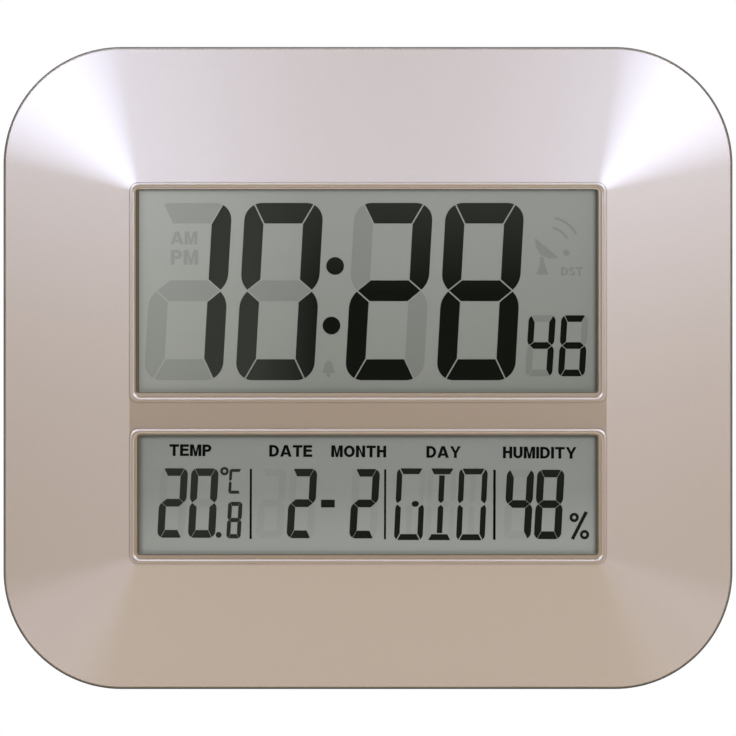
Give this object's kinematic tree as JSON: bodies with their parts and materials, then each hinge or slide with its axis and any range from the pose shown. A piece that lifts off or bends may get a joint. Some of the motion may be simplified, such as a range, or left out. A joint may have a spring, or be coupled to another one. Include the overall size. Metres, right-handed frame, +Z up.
{
  "type": "digital wall clock",
  "caption": "Wall clock with a rounded champagne case, a large time display over a temperature, date and humidity display, rear push buttons, battery bay and fold-out table stand.",
  "frame": {"origin": "the hanging point: centre of the upper end of the keyhole slot, on the wall plane", "axes": "+Z up, +Y into the wall, -Y the way the displays face, +X to the right as seen from the front"},
  "size_m": [0.26, 0.0298, 0.229],
  "materials": {
    "champagne_paint": "satin metallic paint on a plastic moulding",
    "cover_plastic": "fine textured dark plastic",
    "display_film": "anti-glare polariser film",
    "display_glass": "thin clear glass",
    "reflector_film": "silvered film",
    "contact_rubber": "layered conductive rubber",
    "holder_plastic": "plain pale plastic",
    "board_laminate": "green solder mask",
    "black_resin": "black moulded resin",
    "bright_steel": "nickel-plated steel",
    "button_plastic": "satin dark plastic",
    "cell_jacket": "plain printed steel jacket",
    "ferrite": "dull dark ferrite",
    "copper_winding": "enamelled copper wire",
    "red_insulation": "red wire insulation",
    "black_insulation": "black wire insulation"
  },
  "bodies": {
    "case": {"front_bezel": "champagne_paint", "rear_cover": "cover_plastic", "upper_display_front_polariser": "display_film", "upper_display_front_glass": "display_glass", "upper_display_rear_glass": "display_glass", "upper_display_reflector": "reflector_film", "upper_display_contact_strip": "contact_rubber", "lower_display_front_polariser": "display_film", "lower_display_front_glass": "display_glass", "lower_display_rear_glass": "display_glass", "lower_display_reflector": "reflector_film", "lower_display_contact_strip": "contact_rubber", "display_holder": "holder_plastic", "circuit_board": "board_laminate", "driver_chip": "black_resin", "quartz_crystal": "bright_steel", "capacitor": "black_resin", "mode_switch_housing": "black_resin", "set_switch_housing": "black_resin", "up_switch_housing": "black_resin", "down_switch_housing": "black_resin", "alarm_switch_housing": "black_resin", "upper_cell": "cell_jacket", "lower_cell": "cell_jacket", "upper_battery_spring": "bright_steel", "lower_battery_spring": "bright_steel", "bridge_contact_plate": "bright_steel", "plus_contact_plate": "bright_steel", "minus_contact_plate": "bright_steel", "plus_battery_lead": "red_insulation", "minus_battery_lead": "black_insulation", "case_screw_1": "bright_steel", "case_screw_2": "bright_steel", "case_screw_3": "bright_steel", "case_screw_4": "bright_steel", "case_screw_5": "bright_steel", "case_screw_6": "bright_steel", "board_screw_1": "bright_steel", "board_screw_2": "bright_steel", "board_screw_3": "bright_steel", "board_screw_4": "bright_steel", "antenna_rod": "ferrite", "antenna_coil": "copper_winding", "buzzer": "bright_steel", "sensor_board": "board_laminate", "climate_sensor": "holder_plastic"},
    "mode_key": {"mode_button": "button_plastic", "mode_switch_plunger": "button_plastic"},
    "set_key": {"set_button": "button_plastic", "set_switch_plunger": "button_plastic"},
    "up_key": {"up_button": "button_plastic", "up_switch_plunger": "button_plastic"},
    "down_key": {"down_button": "button_plastic", "down_switch_plunger": "button_plastic"},
    "alarm_key": {"alarm_button": "button_plastic", "alarm_switch_plunger": "button_plastic"},
    "door": {"battery_door": "cover_plastic"},
    "stand": {"table_stand": "cover_plastic"}
  },
  "joints": [
    {"name": "mode_press", "type": "slide", "parent": "case", "child": "mode_key", "axis": [0, -1, 0], "range_m": [0, 0.0008], "stiffness_N_per_m": 1000, "springref_m": -0.0005},
    {"name": "set_press", "type": "slide", "parent": "case", "child": "set_key", "axis": [0, -1, 0], "range_m": [0, 0.0008], "stiffness_N_per_m": 1000, "springref_m": -0.0005},
    {"name": "up_press", "type": "slide", "parent": "case", "child": "up_key", "axis": [0, -1, 0], "range_m": [0, 0.0008], "stiffness_N_per_m": 1000, "springref_m": -0.0005},
    {"name": "down_press", "type": "slide", "parent": "case", "child": "down_key", "axis": [0, -1, 0], "range_m": [0, 0.0008], "stiffness_N_per_m": 1000, "springref_m": -0.0005},
    {"name": "alarm_press", "type": "slide", "parent": "case", "child": "alarm_key", "axis": [0, -1, 0], "range_m": [0, 0.0008], "stiffness_N_per_m": 1000, "springref_m": -0.0005},
    {"name": "door_hinge", "type": "hinge", "parent": "case", "child": "door", "pos_m": [0, -0.0009, -0.04335], "axis": [1, 0, 0], "range_deg": [0, 95]},
    {"name": "stand_hinge", "type": "hinge", "parent": "case", "child": "stand", "pos_m": [0, -0.0022, -0.1287], "axis": [1, 0, 0], "range_deg": [0, 30]}
  ]
}
